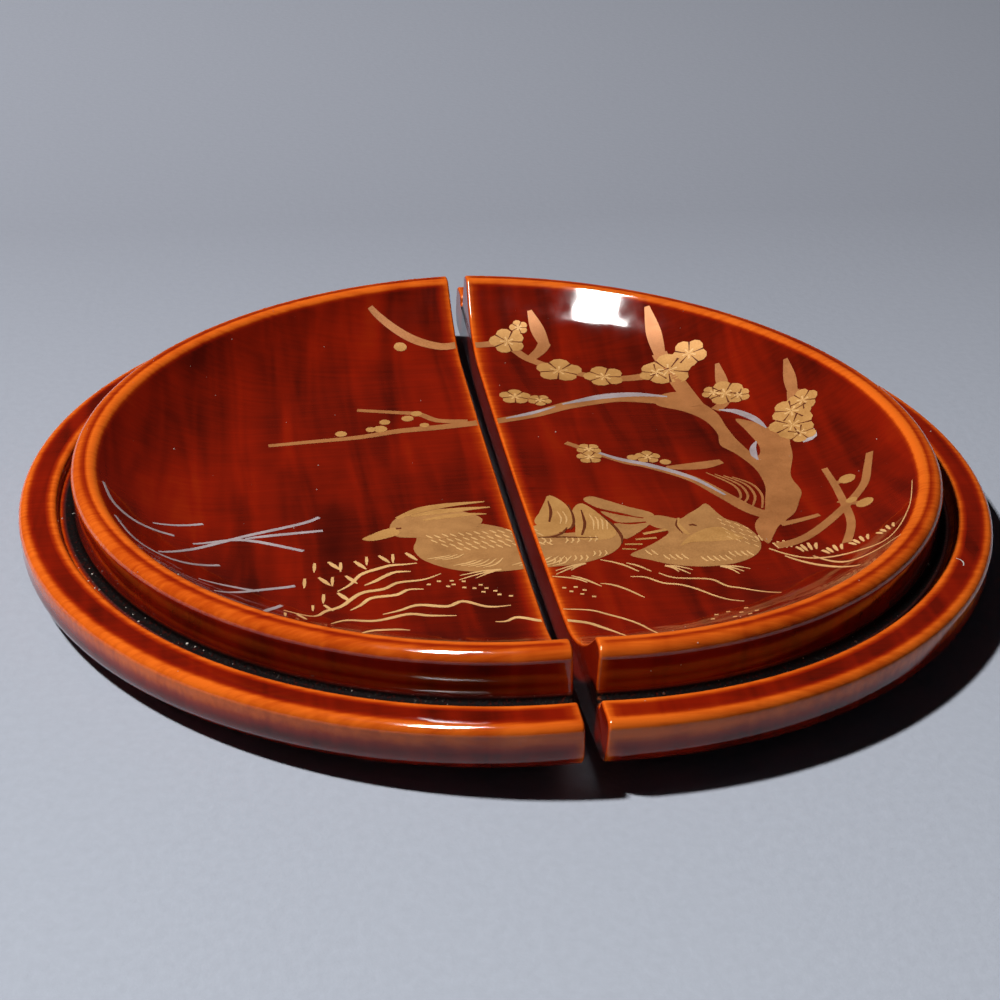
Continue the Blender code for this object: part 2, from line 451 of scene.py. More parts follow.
rim_grid = add_node(turn_tree, "GeometryNodeMeshGrid", {"Vertices X": around, "Vertices Y": rows}).outputs[0]
swing = calc(turn_tree, "DIVIDE", calc(turn_tree, "FLOORED_MODULO", number, rows), given["Rounding steps"])
swing = calc(turn_tree, "MULTIPLY", swing, math.pi / 2.0)
point, x, y, z = along_cut(calc(turn_tree, "FLOOR", calc(turn_tree, "DIVIDE", number, rows)), swing)
rim_grid = stored(rim_grid, "thin", calc(turn_tree, "COSINE", swing))
rim_grid = stored(rim_grid, "dust", outline_value(point, "dust"))
rim_grid = placed(rim_grid, x, y, z)

cap = add_node(turn_tree, "GeometryNodeMeshCircle", {"Vertices": around}, fill_type="NGON").outputs[0]
cap = stored(cap, "thin", calc(turn_tree, "MULTIPLY", number, 0.0))
cap = placed(cap, *along_cut(number, calc(turn_tree, "ADD", math.pi / 2.0, 0.0))[1:])

# %% Weld, shade and lay down
parts = turn_tree.nodes.new("GeometryNodeJoinGeometry")
for part in (cap, rim_grid, skin):
    turn_tree.links.new(part, parts.inputs[0])
welded = add_node(turn_tree, "GeometryNodeMergeByDistance", {"Geometry": parts.outputs[0], "Distance": 1e-6})
shaded = add_node(turn_tree, "GeometryNodeSetShadeSmooth", {"Geometry": welded.outputs[0], "Shade Smooth": True})
close_tree(turn_tree, laid_down(turn_tree, shaded.outputs[0], given["Half turn"]), given["Finish"])
print("turning tree nodes:", len(turn_tree.nodes))

# %% [markdown]
# ## The lacquer
# The finish is a brown transparent lacquer over wood. Its colour comes from the thin value: nearly black red in the
# hollows, red brown on the flats and orange on the edges. The wood below adds soft dark and light bands that run
# with the cut, and a fine hatch across them. The gloss is a smooth surface reflection, and a slight waviness of the
# surface keeps the highlights from looking machined.


# %% Node material helpers
def new_finish(name):
    finish = bpy.data.materials.new(name)
    finish.use_nodes = True
    shader = finish.node_tree.nodes["Principled BSDF"]
    return finish, finish.node_tree, shader


def noise(tree, place, stretch, detail=3.0, roughness=0.55, distortion=0.0):
    """A noise between 0 and 1. Stretch gives the spots per metre along X, Y and Z."""
    mapped = add_node(tree, "ShaderNodeMapping", {"Vector": place, "Scale": stretch}).outputs[0]
    settings = {"Vector": mapped, "Scale": 1.0, "Detail": detail, "Roughness": roughness, "Distortion": distortion}
    return add_node(tree, "ShaderNodeTexNoise", settings).outputs["Fac"]


def ramp(tree, value, stops):
    node = add_node(tree, "ShaderNodeValToRGB", {0: value})
    band = node.color_ramp
    while len(band.elements) < len(stops):
        band.elements.new(0.5)
    for element, (position, colour) in zip(band.elements, stops):
        element.position = position
        element.color = (*colour, 1.0)
    return node.outputs[0]


def between(tree, value, low, high, to_low=0.0, to_high=1.0):
    """Maps value from low..high to to_low..to_high, held at the ends."""
    settings = {0: value, 1: low, 2: high, 3: to_low, 4: to_high}
    return add_node(tree, "ShaderNodeMapRange", settings).outputs[0]


def mixed(tree, share, first, second):
    node = tree.nodes.new("ShaderNodeMix")
    node.data_type = "RGBA"
    for socket, value in zip((node.inputs[0], node.inputs[6], node.inputs[7]), (share, first, second)):
        if isinstance(value, bpy.types.NodeSocket):
            tree.links.new(value, socket)
        else:
            socket.default_value = value
    return node.outputs[2]


def attribute(tree, name):
    return add_node(tree, "ShaderNodeAttribute", attribute_name=name).outputs["Fac"]


# %% The lacquer's finish
lacquer, tree, shader = new_finish("brown_lacquer")
place = tree.nodes.new("ShaderNodeTexCoord").outputs["Object"]
bands = noise(tree, place, (260, 26, 60), detail=2.0, distortion=0.6)
hatch = noise(tree, place, (130, 2100, 900), detail=2.0)
cloud = noise(tree, place, (70, 70, 70), detail=3.0)
thin_here = attribute(tree, "thin")
dust_here = attribute(tree, "dust")
figure = calc(tree, "ADD", between(tree, bands, 0.3, 0.7, -0.09, 0.09), between(tree, cloud, 0.3, 0.7, -0.06, 0.06))
grain = between(tree, hatch, 0.3, 0.7, -0.07, 0.07)
depth = calc(tree, "ADD", between(tree, thin_here, 0.0, 1.0, 0.22, 0.9), figure)
depth = calc(tree, "ADD", depth, calc(tree, "MULTIPLY", grain, between(tree, thin_here, 0.0, 0.6, 0.28, 1.3)))
wood_colour = ramp(
    tree,
    depth,
    [
        (0.0, (0.02, 0.0018, 0.001)),
        (0.14, (0.08, 0.0045, 0.0015)),
        (0.3, (0.21, 0.0085, 0.0016)),
        (0.5, (0.32, 0.024, 0.002)),
        (0.7, (0.5, 0.065, 0.004)),
        (0.95, (0.73, 0.13, 0.01)),
    ],
)
crumbs = noise(tree, place, (2600, 2600, 2600), detail=4.0)
dirt_share = calc(tree, "MULTIPLY", dust_here, between(tree, crumbs, 0.25, 0.45, 0.75, 1.0))
crumb_colour = ramp(tree, crumbs, [(0.0, (0.003, 0.002, 0.002)), (0.62, (0.006, 0.004, 0.004)),
    (0.8, (0.05, 0.04, 0.034))])
tree.links.new(mixed(tree, dirt_share, wood_colour, crumb_colour), shader.inputs["Base Color"])
smears = noise(tree, place, (300, 180, 300), detail=5.0)
gloss = calc(tree, "ADD", between(tree, smears, 0.35, 0.75, 0.045, 0.11), calc(tree, "MULTIPLY", dust_here, 0.6))
tree.links.new(gloss, shader.inputs["Roughness"])
tree.links.new(calc(tree, "MULTIPLY", dust_here, 0.95), shader.inputs["Metallic"])  # packed dirt hardly shines
shader.inputs["IOR"].default_value = 1.52
waviness = noise(tree, place, (240, 240, 240), detail=1.0)
swell = add_node(tree, "ShaderNodeBump", {"Height": waviness, "Strength": 0.12, "Distance": 0.0004})
rough = calc(tree, "MULTIPLY", crumbs, dust_here)
grit = add_node(tree, "ShaderNodeBump", {"Height": rough, "Strength": 0.6, "Distance": 0.0003,
    "Normal": swell.outputs[0]})
tree.links.new(grit.outputs[0], shader.inputs["Normal"])

# %% The two turned halves
halves = {}
for side, half_turn in HALVES.items():
    name = side + "_lacquer_half"
    piece = made_by(turn_tree, outline_object, name, {"Half turn": half_turn, "Finish": lacquer})
    shape = bmesh.new()
    shape.from_mesh(piece.data)
    bmesh.ops.recalc_face_normals(shape, faces=shape.faces[:])
    for face in shape.faces:
        face.smooth = len(face.verts) < 5
    open_edges = sum(1 for edge_line in shape.edges if not edge_line.is_manifold)
    volume = shape.calc_volume(signed=True)
    shape.to_mesh(piece.data)
    shape.free()
    halves[side] = piece
    print(name, "faces:", len(piece.data.polygons), "open edges:", open_edges, "volume mm3:", round(volume * 1e9, 1))

# %% [markdown]
# ## The painted picture: brushes
# The picture on the lid is drawn in gold and silver on the lacquer, and it lies almost flush with it. It is built as
# thin closed shells, not as a colour pattern, because fine lines stay sharp that way at any distance. It is drawn
# flat first, as if the floor and the wall were rolled out, in millimetres from the middle of the lid, with X to the
# right and Y away from the viewer. Lines are curves with their own width at each point, and areas are filled curves.

# %% A flat drawing: lines, areas and petals
LINE_STEP = 0.45 * MM
PAINT_SINK = 0.015 * MM
HAIR = 0.0004 * MM
LOW, MID, HIGH, TOP, OVER = 0.02, 0.028, 0.036, 0.044, 0.056  # levels above the lacquer, in millimetres
drawing = {}


def sheet_of(paint, level):
    return drawing.setdefault((paint, level), {"lines": [], "areas": [], "petals": []})


def brush(paint, level, widths, *points):
    """A brush line through points. Widths are spread evenly over its length, in millimetres."""
    sheet_of(paint, level)["lines"].append((points, widths))


def area(paint, level, *points):
    sheet_of(paint, level)["areas"].append((points, (1.0,)))


def blossom(x, y, size=1.0, turn=0.0):
    sheet_of("gold", TOP)["petals"].append((x, y, size, turn))


def flat_curves(name, lines, closed):
    """A curve object with one spline for each line. The radius of a point is half the width of the brush there."""
    data = bpy.data.curves.new(name, "CURVE")
    data.dimensions = "3D"
    for number, (points, widths) in enumerate(lines):
        spline = data.splines.new("POLY")
        spline.points.add(len(points) - 1)
        spline.use_cyclic_u = closed
        for index, ((x, y), spot) in enumerate(zip(points, spline.points)):
            along = index / (len(points) - 1) * (len(widths) - 1)
            low = min(int(along), max(len(widths) - 2, 0))
            width = widths[low] + (along - low) * (widths[min(low + 1, len(widths) - 1)] - widths[low])
            spot.co = (x * MM, y * MM, number % 24 * HAIR, 1.0)
            spot.radius = width / 2.0
    return linked_object(name, data)


# %% Tree: a brush line as a flat band
line_tree, given = new_geometry_tree(
    "brush_line",
    [("Step", "NodeSocketFloat", LINE_STEP), ("Level", "NodeSocketFloat", 0.0), ("Finish", "NodeSocketMaterial", None)],
)
curved = add_node(line_tree, "GeometryNodeCurveSplineType", {"Curve": given["Geometry"]}, spline_type="CATMULL_ROM")
even = add_node(line_tree, "GeometryNodeResampleCurve", {"Curve": curved.outputs[0], "Length": given["Step"]},
    mode="LENGTH")
upright = add_node(line_tree, "GeometryNodeSetCurveNormal", {"Curve": even.outputs[0]}, mode="Z_UP")
bristle = add_node(line_tree, "GeometryNodeCurvePrimitiveLine", {"Start": (-MM, 0, 0), "End": (MM, 0, 0)}).outputs[0]
brush_width = line_tree.nodes.new("GeometryNodeInputRadius").outputs[0]
band = add_node(
    line_tree,
    "GeometryNodeCurveToMesh",
    {"Curve": upright.outputs[0], "Profile Curve": bristle, "Scale": brush_width},
).outputs[0]
rise = add_node(line_tree, "ShaderNodeCombineXYZ", {2: given["Level"]}).outputs[0]
raised = add_node(line_tree, "GeometryNodeSetPosition", {"Geometry": band, "Offset": rise}).outputs[0]
close_tree(line_tree, raised, given["Finish"])

# %% Tree: a closed curve as a filled area
area_tree, given = new_geometry_tree(
    "filled_area",
    [("Step", "NodeSocketFloat", LINE_STEP), ("Level", "NodeSocketFloat", 0.0), ("Finish", "NodeSocketMaterial", None)],
)
curved = add_node(area_tree, "GeometryNodeCurveSplineType", {"Curve": given["Geometry"]}, spline_type="CATMULL_ROM")
even = add_node(area_tree, "GeometryNodeResampleCurve", {"Curve": curved.outputs[0], "Length": given["Step"]},
    mode="LENGTH")
own = add_node(area_tree, "GeometryNodeStoreNamedAttribute", {"Geometry": even.outputs[0], "Name": "own"},
    data_type="INT", domain="CURVE")
area_tree.links.new(area_tree.nodes.new("GeometryNodeInputIndex").outputs[0], own.inputs["Value"])
own_number = add_node(area_tree, "GeometryNodeInputNamedAttribute", {"Name": "own"}, data_type="INT").outputs[0]
filled = add_node(
    area_tree, "GeometryNodeFillCurve", {"Curve": own.outputs[0], "Group ID": own_number}, mode="TRIANGLES"
).outputs[0]
finer = add_node(area_tree, "GeometryNodeSubdivideMesh", {"Mesh": filled, "Level": 2}).outputs[0]
rise = add_node(area_tree, "ShaderNodeCombineXYZ", {2: given["Level"]}).outputs[0]
raised = add_node(area_tree, "GeometryNodeSetPosition", {"Geometry": finer, "Offset": rise}).outputs[0]
close_tree(area_tree, raised, given["Finish"])

# %% Tree: blossoms of five petals on points
petal_tree, given = new_geometry_tree(
    "blossoms",
    [
        ("Petals", "NodeSocketInt", 5),
        ("Petal radius", "NodeSocketFloat", 1.15 * MM),
        ("Ring radius", "NodeSocketFloat", 1.35 * MM),
        ("Level", "NodeSocketFloat", 0.0),
        ("Finish", "NodeSocketMaterial", None),
    ],
)
ring = add_node(petal_tree, "GeometryNodeMeshCircle",
    {"Vertices": given["Petals"], "Radius": given["Ring radius"]}).outputs[0]
petal = add_node(
    petal_tree, "GeometryNodeMeshCircle", {"Vertices": 10, "Radius": given["Petal radius"]}, fill_type="TRIANGLE_FAN"
).outputs[0]
petal = add_node(petal_tree, "GeometryNodeSubdivideMesh", {"Mesh": petal, "Level": 1}).outputs[0]
petals = add_node(petal_tree, "GeometryNodeInstanceOnPoints", {"Points": ring, "Instance": petal}).outputs[0]
heart = add_node(petal_tree, "GeometryNodeTransform", {"Geometry": petal, "Translation": (0, 0, HAIR)}).outputs[0]
flower = petal_tree.nodes.new("GeometryNodeJoinGeometry")
petal_tree.links.new(petals, flower.inputs[0])
petal_tree.links.new(heart, flower.inputs[0])
size = add_node(petal_tree, "GeometryNodeInputNamedAttribute", {"Name": "size"}, data_type="FLOAT").outputs[0]
spin = add_node(petal_tree, "GeometryNodeInputNamedAttribute", {"Name": "spin"}, data_type="FLOAT").outputs[0]
turned = add_node(petal_tree, "ShaderNodeCombineXYZ", {2: spin}).outputs[0]
scaled = add_node(petal_tree, "ShaderNodeCombineXYZ", {0: size, 1: size, 2: 1.0}).outputs[0]
flowers = add_node(
    petal_tree,
    "GeometryNodeInstanceOnPoints",
    {"Points": given["Geometry"], "Instance": flower.outputs[0], "Rotation": turned, "Scale": scaled},
).outputs[0]
rise = add_node(petal_tree, "ShaderNodeCombineXYZ", {2: given["Level"]}).outputs[0]
raised = add_node(petal_tree, "GeometryNodeTransform", {"Geometry": flowers, "Translation": rise}).outputs[0]
close_tree(petal_tree, raised, given["Finish"])

# %% Tree: the flat drawing laid on the turned surface
wrap_tree, given = new_geometry_tree(
    "paint_on_surface",
    [
        ("Outline", "NodeSocketObject", None),
        ("Sink", "NodeSocketFloat", PAINT_SINK),
        ("Half turn", "NodeSocketFloat", 0.0),
        ("Finish", "NodeSocketMaterial", None),
    ],
)
spot = add_node(wrap_tree, "ShaderNodeSeparateXYZ", {0: wrap_tree.nodes.new("GeometryNodeInputPosition").outputs[0]})
thick = calc(wrap_tree, "ADD", spot.outputs[2], given["Sink"])
down = add_node(wrap_tree, "ShaderNodeCombineXYZ", {2: calc(wrap_tree, "MULTIPLY", thick, -1.0)}).outputs[0]
sunk = add_node(
    wrap_tree,
    "GeometryNodeExtrudeMesh",
    {"Mesh": given["Geometry"], "Offset": down, "Offset Scale": 1.0, "Individual": False},
    mode="FACES",
).outputs[0]
shell = wrap_tree.nodes.new("GeometryNodeJoinGeometry")
wrap_tree.links.new(given["Geometry"], shell.inputs[0])
wrap_tree.links.new(sunk, shell.inputs[0])
closed = add_node(wrap_tree, "GeometryNodeMergeByDistance", {"Geometry": shell.outputs[0], "Distance": 1e-8}).outputs[0]
flat = add_node(wrap_tree, "ShaderNodeCombineXYZ", {0: spot.outputs[0], 1: spot.outputs[1]}).outputs[0]
length = add_node(wrap_tree, "ShaderNodeVectorMath", {0: flat}, operation="LENGTH").outputs["Value"]
length = calc(wrap_tree, "MAXIMUM", length, 1e-6)
info = add_node(wrap_tree, "GeometryNodeObjectInfo", {"Object": given["Outline"]}).outputs["Geometry"]
path = add_node(wrap_tree, "GeometryNodeMeshToCurve", {"Mesh": info}).outputs[0]
found = add_node(wrap_tree, "GeometryNodeSampleCurve", {"Curves": path, "Length": length}, mode="LENGTH")
at = add_node(wrap_tree, "ShaderNodeSeparateXYZ", {0: found.outputs["Position"]})
along = add_node(wrap_tree, "ShaderNodeSeparateXYZ", {0: found.outputs["Tangent"]})
radius = calc(wrap_tree, "SUBTRACT", at.outputs[0], calc(wrap_tree, "MULTIPLY", along.outputs[2], spot.outputs[2]))
height = calc(wrap_tree, "ADD", at.outputs[2], calc(wrap_tree, "MULTIPLY", along.outputs[0], spot.outputs[2]))
stretch = calc(wrap_tree, "DIVIDE", radius, length)
place = add_node(
    wrap_tree,
    "ShaderNodeCombineXYZ",
    {
        0: calc(wrap_tree, "MULTIPLY", spot.outputs[0], stretch),
        1: calc(wrap_tree, "MULTIPLY", spot.outputs[1], stretch),
        2: height,
    },
).outputs[0]
wrapped = add_node(wrap_tree, "GeometryNodeSetPosition", {"Geometry": closed, "Position": place}).outputs[0]
close_tree(wrap_tree, laid_down(wrap_tree, wrapped, given["Half turn"]), given["Finish"])

# %% [markdown]
# ## The painted picture: what is drawn
# A pair of water birds rests on a bank under an old blossoming plum tree, a traditional subject on tea things. The
# trunk stands at the right and its branches cross the cut. Reeds in silver stand at the left. Silver shades the far
# branches, pale gold draws the plumage, and bare lacquer is left between the feathers.

# %% Trunk and branches
area(
    "rose_gold", MID,
    (24.8, -16.6), (24.3, -14.2), (24.7, -11.8), (26.4, -9.2), (27.3, -6.4), (28.2, -3.0), (28.2, 1.1), (27.0, 5.0),
    (25.7, 7.5), (26.1, 10.6),
    (25.4, 14.1), (23.5, 16.7), (20.5, 18.8), (21.6, 21.4), (24.2, 21.8), (26.1, 18.9), (27.4, 15.7), (27.6, 12.0),
    (28.1, 8.1), (29.2, 4.3), (30.2, 6.6), (29.7, 11.0), (29.2, 14.0), (31.3, 12.5), (32.8, 10.3), (34.6, 9.4),
    (33.9, 6.6), (33.3, 3.4), (31.8, -1.1), (31.9, -4.9), (31.0, -7.2), (29.7, -9.9), (28.0, -11.7), (26.9, -13.0),
    (25.8, -15.0),
)  # fmt: skip
brush("rose_gold", MID, (2.6, 2.4, 1.7, 1.2), (22.3, 20.0), (17.4, 21.1), (14.5, 20.9), (9.4, 19.3), (4.7, 17.0),
    (-0.8, 15.2))
brush("rose_gold", MID, (1.3, 1.2, 0.9, 0.7), (0.3, 15.3), (-5.1, 14.8), (-9.8, 14.5), (-14.6, 13.5), (-20.4, 13.0),
    (-25.2, 12.5))
brush("rose_gold", MID, (2.2, 1.9, 1.5), (25.3, 18.0), (24.6, 23.0), (23.9, 26.5), (23.1, 28.0))
brush("rose_gold", MID, (1.5, 1.3, 1.1), (23.1, 26.7), (19.4, 26.3), (15.8, 26.5), (12.3, 28.2), (8.8, 30.8))
brush("rose_gold", MID, (1.2, 1.1, 1.0), (10.2, 29.3), (6.7, 32.3), (4.2, 35.5), (0.6, 35.6), (-1.8, 35.5))
brush("rose_gold", MID, (1.2, 1.4, 1.2, 0.8), (0.2, 35.8), (-2.1, 35.6), (-5.0, 36.8), (-7.4, 38.6), (-9.8, 40.9),
    (-10.9, 42.2))
brush("rose_gold", MID, (1.0, 0.9, 0.7), (-1.4, 15.8), (-4.9, 16.6), (-7.0, 18.6), (-10.0, 19.5), (-14.2, 20.6))
brush("rose_gold", MID, (1.9, 1.6, 1.1, 0.8), (28.4, -11.3), (25.3, -9.0), (23.0, -5.1), (20.3, -0.6), (16.1, 2.9),
    (13.0, 4.6), (7.5, 9.5))
brush("rose_gold", MID, (1.3, 1.2, 0.9), (25.6, -17.2), (27.6, -16.7), (30.1, -15.3), (34.4, -11.6), (38.3, -7.8),
    (39.9, -4.6), (41.2, -1.7))
brush("rose_gold", MID, (1.1, 0.9, 0.7), (32.5, -20.0), (34.6, -14.8), (35.6, -7.0), (35.8, -1.0))
brush("rose_gold", MID, (0.9, 0.7), (27.4, -12.4), (30.0, -11.7), (32.1, -11.2))
brush("rose_gold", MID, (0.9, 0.7), (35.0, -9.1), (36.7, -11.4))
brush("rose_gold", MID, (0.8, 0.6), (35.7, -5.1), (37.1, -4.8))

# %% Straight young shoots with rounded tips
for foot, tip, width in (
    ((23.4, 29.9), (23.5, 38.2), 2.0), ((9.3, 34.9), (8.1, 41.1), 1.8), ((29.4, 19.3), (29.9, 25.9), 1.5),
    ((37.0, 15.5), (38.0, 21.9), 1.6), ((6.1, 20.7), (2.3, 23.1), 0.9),
):  # fmt: skip
    middle = ((foot[0] + tip[0]) / 2.0, (foot[1] + tip[1]) / 2.0)
    brush("rose_gold", LOW, (width * 0.7, width * 0.8, width, width, width * 0.35), foot, middle, tip)
brush("rose_gold", LOW, (1.5, 1.8, 2.0), (23.7, 26.1), (23.6, 28.3), (23.4, 30.4))
brush("rose_gold", LOW, (1.2, 1.5, 1.7), (7.0, 32.4), (8.5, 34.0), (9.3, 35.4))
brush("rose_gold", LOW, (1.3, 1.4, 1.5), (27.4, 16.7), (28.8, 18.1), (29.5, 19.7))
brush("rose_gold", LOW, (2.0, 1.8, 1.6), (34.1, 8.3), (35.8, 11.4), (37.2, 16.3))

# %% Silver shading along the branches
brush("silver", HIGH, (0.3, 1.1, 1.2, 0.3), (22.3, 20.9), (18.4, 21.8), (13.9, 21.4), (8.9, 19.7))
brush("silver", HIGH, (0.2, 0.7, 0.8, 0.2), (30.2, 8.0), (29.4, 6.5), (29.0, 4.7), (29.1, 3.3))
brush("silver", HIGH, (0.2, 0.9, 0.9, 0.2), (27.8, 16.6), (29.7, 15.7), (31.4, 13.3), (32.2, 10.8))
brush("silver", HIGH, (0.3, 0.8, 0.8, 0.3), (23.1, -4.9), (20.3, -0.3), (16.1, 3.2), (13.0, 4.9), (10.4, 7.2))
brush("silver", HIGH, (0.2, 0.7, 0.7, 0.2), (1.4, 16.2), (4.6, 17.4), (7.9, 19.1))
brush("silver", HIGH, (0.8, 1.0, 0.5), (35.3, 6.2), (36.7, 6.5), (37.0, 8.1))
for offset in (0.0, 0.9, 1.8, 2.7):
    brush(
        "rose_gold", LOW, (0.18, 0.34, 0.22),
        (25.0 - offset, -0.6 + offset * 0.5), (26.8 - offset * 0.8, -2.6), (27.2 - offset * 0.9, -5.4),
        (26.4 - offset, -8.4 + offset * 0.7),
    )  # fmt: skip

# %% Blossoms, buds and berries
for x, y, size, turn in (
    (23.8, 26.9, 1.25, 0.2), (22.2, 26.8, 0.9, 0.9), (15.5, 27.0, 1.05, 0.5), (10.1, 29.0, 1.2, 0.1),
    (27.0, 29.0, 0.95, 0.7),
    (29.4, 20.0, 1.0, 0.3), (28.1, 20.6, 0.6, 0.8), (30.9, 19.0, 0.6, 0.4), (4.5, 36.1, 0.95, 0.5),
    (3.4, 22.0, 0.8, 0.2), (6.3, 20.9, 0.6, 0.9),
    (35.2, 10.1, 1.15, 0.4), (35.9, 12.8, 1.0, 0.8), (37.7, 13.9, 0.8, 0.1), (35.6, 8.0, 0.8, 0.6),
    (9.6, 5.6, 0.62, 0.3), (9.9, 7.6, 0.6, 0.8), (16.4, 5.2, 0.62, 0.2), (6.3, 38.5, 0.5, 0.5),
):  # fmt: skip
    blossom(x, y, size, turn)
    for petal in range(5):
        gap = turn + math.radians(36 + 72 * petal)
        line = [(x + size * r * math.cos(gap), y + size * r * math.sin(gap)) for r in (0.55, 1.3, 2.0)]
        brush("dark_line", OVER, (0.1 * size, 0.15 * size, 0.26 * size), *line)
        stamen = turn + math.radians(72 * petal)
        line = [(x + size * r * math.cos(stamen), y + size * r * math.sin(stamen)) for r in (0.1, 0.5, 0.95)]
        brush("pale_gold", OVER, (0.1, 0.16, 0.3), *line)
for x, y, size in (
    (-7.2, 18.7, 0.42), (-11.2, 17.0, 0.4), (-11.9, 15.3, 0.5), (-13.0, 15.3, 0.38), (-16.6, 14.6, 0.42),
    (-8.4, 17.6, 0.45), (-7.4, 35.8, 0.5),
    (37.3, -4.9, 0.58), (37.2, -11.8, 0.6), (36.2, -10.0, 0.4), (14.6, 5.2, 0.4), (18.2, 3.8, 0.4), (-6.6, 15.6, 0.35),
):  # fmt: skip
    sheet_of("gold", TOP)["areas"].append(
        (tuple((x + 1.7 * size * math.cos(t * 1.0472), y + 1.7 * size * math.sin(t * 1.0472)) for t in range(6)),
        (1.0,))
    )
brush("rose_gold", LOW, (0.7, 1.5, 1.7, 1.0), (18.0, 2.4), (20.3, 2.4), (22.7, 2.7), (24.8, 3.4))

# %% The swimming bird
area(
    "dull_gold", LOW,
    (-10.6, -12.0), (-11.1, -14.0), (-10.2, -16.6), (-7.2, -19.1), (-3.0, -20.1), (1.2, -19.8), (4.1, -19.2),
    (6.4, -18.1),
    (8.3, -16.5), (9.2, -14.6), (9.1, -12.4), (8.0, -11.4), (4.0, -12.4), (0.4, -11.9), (-1.4, -10.4), (-4.0, -9.0),
    (-7.0, -8.2), (-10.0, -9.2),
)  # fmt: skip
area(
    "dull_gold", MID,
    (-8.0, -12.2), (-10.2, -11.5), (-12.4, -11.0), (-13.2, -9.6), (-12.7, -7.4), (-11.2, -6.0), (-9.2, -5.2),
    (-6.6, -5.3),
    (-4.6, -6.4), (-3.0, -8.4), (-4.6, -10.6),
)  # fmt: skip
area("gold", HIGH, (-16.3, -11.0), (-15.4, -10.2), (-13.9, -9.2), (-12.6, -8.9), (-12.2, -10.2), (-13.2, -10.9),
    (-15.2, -11.5))
brush("gold", HIGH, (0.5, 1.1, 0.9, 0.2), (-12.2, -6.8), (-9.6, -5.2), (-6.4, -4.5), (-2.2, -4.3))
brush("gold", HIGH, (0.4, 1.0, 0.8, 0.2), (-10.6, -6.5), (-7.6, -5.9), (-4.6, -5.7), (-1.8, -5.7))
brush("gold", HIGH, (0.3, 0.8, 0.6, 0.2), (-9.4, -7.6), (-6.6, -7.1), (-4.2, -7.0), (-2.4, -7.2))
brush("dark_line", TOP, (0.35, 0.55, 0.35), (-12.5, -9.1), (-12.2, -9.0), (-11.9, -9.1))
for row, (start, y, steps) in enumerate(((-9.2, -11.3, 12), (-8.8, -12.4, 12), (-7.8, -13.5, 11), (-6.4, -14.5, 10))):
    for step in range(steps):
        x = start + step * 0.86
        drop = 0.0022 * (x + 3.0) ** 2 + 0.1 * (step % 2)
        brush("pale_gold", HIGH, (0.1, 0.24, 0.12), (x - 0.28, y + 0.34 - drop), (x, y - drop),
            (x + 0.34, y - 0.42 - drop))
for x, y, rise, number in ((-9.9, -16.3, 0.5, 3), (-7.4, -18.1, 0.8, 5), (-1.4, -19.0, 1.4, 4)):
    for step in range(number):
        brush("pale_gold", HIGH, (0.12, 0.22, 0.1), (x + step * 0.75, y - step * 0.22),
            (x + 1.5 + step * 0.7, y + rise * 0.4 - step * 0.2), (x + 2.5 + step * 0.7, y + rise))

# %% Its raised sail feathers and tail
area("gold", MID, (0.6, -9.9), (1.5, -7.5), (2.5, -5.0), (3.2, -3.5), (4.3, -4.7), (4.9, -6.6), (4.9, -9.0),
    (4.4, -11.0), (2.2, -12.4))
area("gold", HIGH, (0.3, -10.7), (2.2, -10.4), (3.9, -10.0), (4.1, -10.8), (3.0, -12.2), (1.6, -13.0), (0.4, -13.0))
area("gold", MID, (4.9, -10.6), (4.8, -8.7), (5.5, -6.6), (6.5, -5.6), (7.5, -7.0), (8.4, -9.3), (9.1, -11.6),
    (8.6, -13.6), (6.6, -14.2), (4.6, -13.6))
brush("dark_line", TOP, (0.12, 0.34, 0.2), (2.9, -4.8), (2.8, -7.3), (2.2, -9.8))
brush("dark_line", TOP, (0.12, 0.34, 0.25), (5.0, -5.8), (5.05, -8.6), (4.7, -10.6), (4.1, -11.6))
brush("dark_line", TOP, (0.12, 0.34, 0.2), (6.2, -7.2), (6.0, -10.4), (5.2, -13.0))
brush("dark_line", TOP, (0.16, 0.26, 0.1), (0.4, -13.3), (2.6, -13.3), (6.8, -13.7))
brush("dark_line", TOP, (0.14, 0.3, 0.2), (3.9, -11.2), (3.0, -12.6), (1.8, -13.2))
brush("dark_line", TOP, (0.1, 0.34, 0.34, 0.1), (8.2, -8.6), (9.1, -11.3), (9.4, -13.6), (9.1, -15.2))
for x in (3.5, 4.1, 6.9, 7.4, 7.9, 8.4):
    brush("pale_gold", HIGH, (0.08, 0.2, 0.1), (x, -7.4 - (x > 5) * (x - 6.0)), (x + 0.15, -9.0 - (x > 5) * 0.8),
        (x - 0.2, -10.3 - (x > 5) * 1.6))
for x, y, number in ((1.3, -18.8, 3), (3.6, -18.4, 3), (5.8, -17.5, 3), (1.0, -14.4, 2), (3.4, -14.4, 3),
        (6.0, -14.2, 2)):
    for step in range(number):
        brush("pale_gold", HIGH, (0.1, 0.22, 0.12), (x + step * 0.62, y + 0.9), (x + 0.1 + step * 0.62, y + 0.4),
            (x - 0.3 + step * 0.62, y - 0.3))
area("dull_gold", MID, (6.9, -4.8), (7.9, -4.0), (9.4, -5.0), (11.5, -6.7), (13.7, -8.2), (13.9, -9.2), (12.4, -9.3),
    (10.4, -8.1), (8.2, -6.8))
area("dull_gold", MID, (8.3, -7.6), (10.3, -8.7), (12.7, -9.7), (13.0, -10.3), (10.0, -10.4), (9.1, -9.4))
area("dull_gold", MID, (9.2, -10.6), (11.0, -10.9), (13.1, -10.7), (12.4, -11.8), (9.8, -14.2), (9.5, -12.6))
